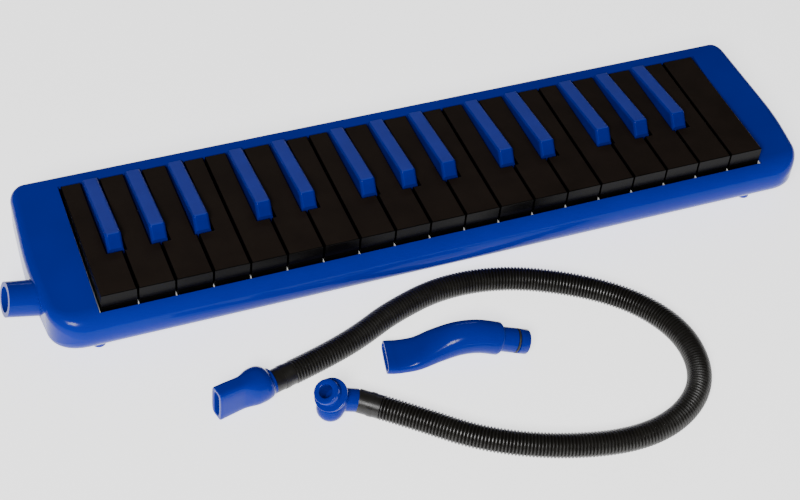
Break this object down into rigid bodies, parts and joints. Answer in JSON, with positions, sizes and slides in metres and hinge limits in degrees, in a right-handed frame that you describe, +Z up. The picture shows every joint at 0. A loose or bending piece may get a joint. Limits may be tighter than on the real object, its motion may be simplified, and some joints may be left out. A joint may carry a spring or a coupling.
{
  "type": "melodica",
  "caption": "Free-reed keyboard instrument blown through an end port, with sprung pivoting keys in a two-part case, a corrugated blowing hose and a short arched mouthpiece.",
  "frame": {"origin": "on the table, under the middle of the box round the instrument and the short mouthpiece lying in front of it", "axes": "+X along the keyboard towards the high notes, +Y from the player towards the rear edge, +Z up"},
  "size_m": [0.4603, 0.2431, 0.0511],
  "materials": {
    "natural_key": "fine matte brown-black moulded tops, glossy fronts",
    "sharp_key": "satin blue moulded plastic",
    "case_blue": "glossy royal blue moulded plastic",
    "white_plastic": "white moulded plastic",
    "steel": "bright steel",
    "felt": "dense red felt",
    "reed_brass": "rolled brass",
    "black_rubber": "soft black rubber",
    "hose_black": "satin black corrugated plastic"
  },
  "bodies": {
    "case": {"blow_port": "case_blue", "case_screws": "steel", "chamber_cover": "white_plastic", "chamber_gasket": "black_rubber", "chamber_screws": "steel", "drain_spring": "steel", "feet": "case_blue", "key_bed": "white_plastic", "key_springs": "steel", "lower_case": "case_blue", "natural_stop_felt": "felt", "pivot_rod": "steel", "reed_plate_high": "reed_brass", "reed_plate_low": "reed_brass", "reed_rivets": "reed_brass", "reeds": "reed_brass", "sharp_stop_felt": "felt", "upper_case": "case_blue"},
    "key_01_f3": {"key_01_f3": "natural_key"},
    "key_02_f_sharp_3": {"key_02_f_sharp_3": "sharp_key"},
    "key_03_g3": {"key_03_g3": "natural_key"},
    "key_04_g_sharp_3": {"key_04_g_sharp_3": "sharp_key"},
    "key_05_a3": {"key_05_a3": "natural_key"},
    "key_06_a_sharp_3": {"key_06_a_sharp_3": "sharp_key"},
    "key_07_b3": {"key_07_b3": "natural_key"},
    "key_08_c4": {"key_08_c4": "natural_key"},
    "key_09_c_sharp_4": {"key_09_c_sharp_4": "sharp_key"},
    "key_10_d4": {"key_10_d4": "natural_key"},
    "key_11_d_sharp_4": {"key_11_d_sharp_4": "sharp_key"},
    "key_12_e4": {"key_12_e4": "natural_key"},
    "key_13_f4": {"key_13_f4": "natural_key"},
    "key_14_f_sharp_4": {"key_14_f_sharp_4": "sharp_key"},
    "key_15_g4": {"key_15_g4": "natural_key"},
    "key_16_g_sharp_4": {"key_16_g_sharp_4": "sharp_key"},
    "key_17_a4": {"key_17_a4": "natural_key"},
    "key_18_a_sharp_4": {"key_18_a_sharp_4": "sharp_key"},
    "key_19_b4": {"key_19_b4": "natural_key"},
    "key_20_c5": {"key_20_c5": "natural_key"},
    "key_21_c_sharp_5": {"key_21_c_sharp_5": "sharp_key"},
    "key_22_d5": {"key_22_d5": "natural_key"},
    "key_23_d_sharp_5": {"key_23_d_sharp_5": "sharp_key"},
    "key_24_e5": {"key_24_e5": "natural_key"},
    "key_25_f5": {"key_25_f5": "natural_key"},
    "key_26_f_sharp_5": {"key_26_f_sharp_5": "sharp_key"},
    "key_27_g5": {"key_27_g5": "natural_key"},
    "key_28_g_sharp_5": {"key_28_g_sharp_5": "sharp_key"},
    "key_29_a5": {"key_29_a5": "natural_key"},
    "key_30_a_sharp_5": {"key_30_a_sharp_5": "sharp_key"},
    "key_31_b5": {"key_31_b5": "natural_key"},
    "key_32_c6": {"key_32_c6": "natural_key"},
    "drain_valve": {"drain_button": "white_plastic", "drain_seal": "black_rubber"},
    "short_mouthpiece_set": {"short_mouthpiece": "case_blue", "mouthpiece_o_ring": "black_rubber"},
    "hose_set": {"hose": "hose_black", "hose_cuff_mouth": "hose_black", "hose_cuff_plug": "hose_black", "hose_mouthpiece": "case_blue", "hose_connector": "case_blue"}
  },
  "joints": [
    {"name": "press_01_f3", "type": "hinge", "parent": "case", "child": "key_01_f3", "pos_m": [0, 0.054, 0.031], "axis": [1, 0, 0], "range_deg": [0, 5], "stiffness_Nm_per_rad": 0.35, "springref_deg": -14.32, "deforming": ["key_springs"]},
    {"name": "press_02_f_sharp_3", "type": "hinge", "parent": "case", "child": "key_02_f_sharp_3", "pos_m": [0, 0.054, 0.031], "axis": [1, 0, 0], "range_deg": [0, 5.6], "stiffness_Nm_per_rad": 0.35, "springref_deg": -14.32, "deforming": ["key_springs"]},
    {"name": "press_03_g3", "type": "hinge", "parent": "case", "child": "key_03_g3", "pos_m": [0, 0.054, 0.031], "axis": [1, 0, 0], "range_deg": [0, 5], "stiffness_Nm_per_rad": 0.35, "springref_deg": -14.32, "deforming": ["key_springs"]},
    {"name": "press_04_g_sharp_3", "type": "hinge", "parent": "case", "child": "key_04_g_sharp_3", "pos_m": [0, 0.054, 0.031], "axis": [1, 0, 0], "range_deg": [0, 5.6], "stiffness_Nm_per_rad": 0.35, "springref_deg": -14.32, "deforming": ["key_springs"]},
    {"name": "press_05_a3", "type": "hinge", "parent": "case", "child": "key_05_a3", "pos_m": [0, 0.054, 0.031], "axis": [1, 0, 0], "range_deg": [0, 5], "stiffness_Nm_per_rad": 0.35, "springref_deg": -14.32, "deforming": ["key_springs"]},
    {"name": "press_06_a_sharp_3", "type": "hinge", "parent": "case", "child": "key_06_a_sharp_3", "pos_m": [0, 0.054, 0.031], "axis": [1, 0, 0], "range_deg": [0, 5.6], "stiffness_Nm_per_rad": 0.35, "springref_deg": -14.32, "deforming": ["key_springs"]},
    {"name": "press_07_b3", "type": "hinge", "parent": "case", "child": "key_07_b3", "pos_m": [0, 0.054, 0.031], "axis": [1, 0, 0], "range_deg": [0, 5], "stiffness_Nm_per_rad": 0.35, "springref_deg": -14.32, "deforming": ["key_springs"]},
    {"name": "press_08_c4", "type": "hinge", "parent": "case", "child": "key_08_c4", "pos_m": [0, 0.054, 0.031], "axis": [1, 0, 0], "range_deg": [0, 5], "stiffness_Nm_per_rad": 0.35, "springref_deg": -14.32, "deforming": ["key_springs"]},
    {"name": "press_09_c_sharp_4", "type": "hinge", "parent": "case", "child": "key_09_c_sharp_4", "pos_m": [0, 0.054, 0.031], "axis": [1, 0, 0], "range_deg": [0, 5.6], "stiffness_Nm_per_rad": 0.35, "springref_deg": -14.32, "deforming": ["key_springs"]},
    {"name": "press_10_d4", "type": "hinge", "parent": "case", "child": "key_10_d4", "pos_m": [0, 0.054, 0.031], "axis": [1, 0, 0], "range_deg": [0, 5], "stiffness_Nm_per_rad": 0.35, "springref_deg": -14.32, "deforming": ["key_springs"]},
    {"name": "press_11_d_sharp_4", "type": "hinge", "parent": "case", "child": "key_11_d_sharp_4", "pos_m": [0, 0.054, 0.031], "axis": [1, 0, 0], "range_deg": [0, 5.6], "stiffness_Nm_per_rad": 0.35, "springref_deg": -14.32, "deforming": ["key_springs"]},
    {"name": "press_12_e4", "type": "hinge", "parent": "case", "child": "key_12_e4", "pos_m": [0, 0.054, 0.031], "axis": [1, 0, 0], "range_deg": [0, 5], "stiffness_Nm_per_rad": 0.35, "springref_deg": -14.32, "deforming": ["key_springs"]},
    {"name": "press_13_f4", "type": "hinge", "parent": "case", "child": "key_13_f4", "pos_m": [0, 0.054, 0.031], "axis": [1, 0, 0], "range_deg": [0, 5], "stiffness_Nm_per_rad": 0.35, "springref_deg": -14.32, "deforming": ["key_springs"]},
    {"name": "press_14_f_sharp_4", "type": "hinge", "parent": "case", "child": "key_14_f_sharp_4", "pos_m": [0, 0.054, 0.031], "axis": [1, 0, 0], "range_deg": [0, 5.6], "stiffness_Nm_per_rad": 0.35, "springref_deg": -14.32, "deforming": ["key_springs"]},
    {"name": "press_15_g4", "type": "hinge", "parent": "case", "child": "key_15_g4", "pos_m": [0, 0.054, 0.031], "axis": [1, 0, 0], "range_deg": [0, 5], "stiffness_Nm_per_rad": 0.35, "springref_deg": -14.32, "deforming": ["key_springs"]},
    {"name": "press_16_g_sharp_4", "type": "hinge", "parent": "case", "child": "key_16_g_sharp_4", "pos_m": [0, 0.054, 0.031], "axis": [1, 0, 0], "range_deg": [0, 5.6], "stiffness_Nm_per_rad": 0.35, "springref_deg": -14.32, "deforming": ["key_springs"]},
    {"name": "press_17_a4", "type": "hinge", "parent": "case", "child": "key_17_a4", "pos_m": [0, 0.054, 0.031], "axis": [1, 0, 0], "range_deg": [0, 5], "stiffness_Nm_per_rad": 0.35, "springref_deg": -14.32, "deforming": ["key_springs"]},
    {"name": "press_18_a_sharp_4", "type": "hinge", "parent": "case", "child": "key_18_a_sharp_4", "pos_m": [0, 0.054, 0.031], "axis": [1, 0, 0], "range_deg": [0, 5.6], "stiffness_Nm_per_rad": 0.35, "springref_deg": -14.32, "deforming": ["key_springs"]},
    {"name": "press_19_b4", "type": "hinge", "parent": "case", "child": "key_19_b4", "pos_m": [0, 0.054, 0.031], "axis": [1, 0, 0], "range_deg": [0, 5], "stiffness_Nm_per_rad": 0.35, "springref_deg": -14.32, "deforming": ["key_springs"]},
    {"name": "press_20_c5", "type": "hinge", "parent": "case", "child": "key_20_c5", "pos_m": [0, 0.054, 0.031], "axis": [1, 0, 0], "range_deg": [0, 5], "stiffness_Nm_per_rad": 0.35, "springref_deg": -14.32, "deforming": ["key_springs"]},
    {"name": "press_21_c_sharp_5", "type": "hinge", "parent": "case", "child": "key_21_c_sharp_5", "pos_m": [0, 0.054, 0.031], "axis": [1, 0, 0], "range_deg": [0, 5.6], "stiffness_Nm_per_rad": 0.35, "springref_deg": -14.32, "deforming": ["key_springs"]},
    {"name": "press_22_d5", "type": "hinge", "parent": "case", "child": "key_22_d5", "pos_m": [0, 0.054, 0.031], "axis": [1, 0, 0], "range_deg": [0, 5], "stiffness_Nm_per_rad": 0.35, "springref_deg": -14.32, "deforming": ["key_springs"]},
    {"name": "press_23_d_sharp_5", "type": "hinge", "parent": "case", "child": "key_23_d_sharp_5", "pos_m": [0, 0.054, 0.031], "axis": [1, 0, 0], "range_deg": [0, 5.6], "stiffness_Nm_per_rad": 0.35, "springref_deg": -14.32, "deforming": ["key_springs"]},
    {"name": "press_24_e5", "type": "hinge", "parent": "case", "child": "key_24_e5", "pos_m": [0, 0.054, 0.031], "axis": [1, 0, 0], "range_deg": [0, 5], "stiffness_Nm_per_rad": 0.35, "springref_deg": -14.32, "deforming": ["key_springs"]},
    {"name": "press_25_f5", "type": "hinge", "parent": "case", "child": "key_25_f5", "pos_m": [0, 0.054, 0.031], "axis": [1, 0, 0], "range_deg": [0, 5], "stiffness_Nm_per_rad": 0.35, "springref_deg": -14.32, "deforming": ["key_springs"]},
    {"name": "press_26_f_sharp_5", "type": "hinge", "parent": "case", "child": "key_26_f_sharp_5", "pos_m": [0, 0.054, 0.031], "axis": [1, 0, 0], "range_deg": [0, 5.6], "stiffness_Nm_per_rad": 0.35, "springref_deg": -14.32, "deforming": ["key_springs"]},
    {"name": "press_27_g5", "type": "hinge", "parent": "case", "child": "key_27_g5", "pos_m": [0, 0.054, 0.031], "axis": [1, 0, 0], "range_deg": [0, 5], "stiffness_Nm_per_rad": 0.35, "springref_deg": -14.32, "deforming": ["key_springs"]},
    {"name": "press_28_g_sharp_5", "type": "hinge", "parent": "case", "child": "key_28_g_sharp_5", "pos_m": [0, 0.054, 0.031], "axis": [1, 0, 0], "range_deg": [0, 5.6], "stiffness_Nm_per_rad": 0.35, "springref_deg": -14.32, "deforming": ["key_springs"]},
    {"name": "press_29_a5", "type": "hinge", "parent": "case", "child": "key_29_a5", "pos_m": [0, 0.054, 0.031], "axis": [1, 0, 0], "range_deg": [0, 5], "stiffness_Nm_per_rad": 0.35, "springref_deg": -14.32, "deforming": ["key_springs"]},
    {"name": "press_30_a_sharp_5", "type": "hinge", "parent": "case", "child": "key_30_a_sharp_5", "pos_m": [0, 0.054, 0.031], "axis": [1, 0, 0], "range_deg": [0, 5.6], "stiffness_Nm_per_rad": 0.35, "springref_deg": -14.32, "deforming": ["key_springs"]},
    {"name": "press_31_b5", "type": "hinge", "parent": "case", "child": "key_31_b5", "pos_m": [0, 0.054, 0.031], "axis": [1, 0, 0], "range_deg": [0, 5], "stiffness_Nm_per_rad": 0.35, "springref_deg": -14.32, "deforming": ["key_springs"]},
    {"name": "press_32_c6", "type": "hinge", "parent": "case", "child": "key_32_c6", "pos_m": [0, 0.054, 0.031], "axis": [1, 0, 0], "range_deg": [0, 5], "stiffness_Nm_per_rad": 0.35, "springref_deg": -14.32, "deforming": ["key_springs"]},
    {"name": "press_drain_button", "type": "slide", "parent": "case", "child": "drain_valve", "axis": [0, 0, 1], "range_m": [0, 0.0012], "stiffness_N_per_m": 400, "springref_m": -0.0015, "deforming": ["drain_spring"]},
    {"name": "lift_short_mouthpiece", "type": "slide", "parent": "case", "child": "short_mouthpiece_set", "axis": [0, 0, 1], "range_m": [0, 0.15]},
    {"name": "lift_hose", "type": "slide", "parent": "case", "child": "hose_set", "axis": [0, -0.6, 0.8], "range_m": [0, 0.05]}
  ]
}
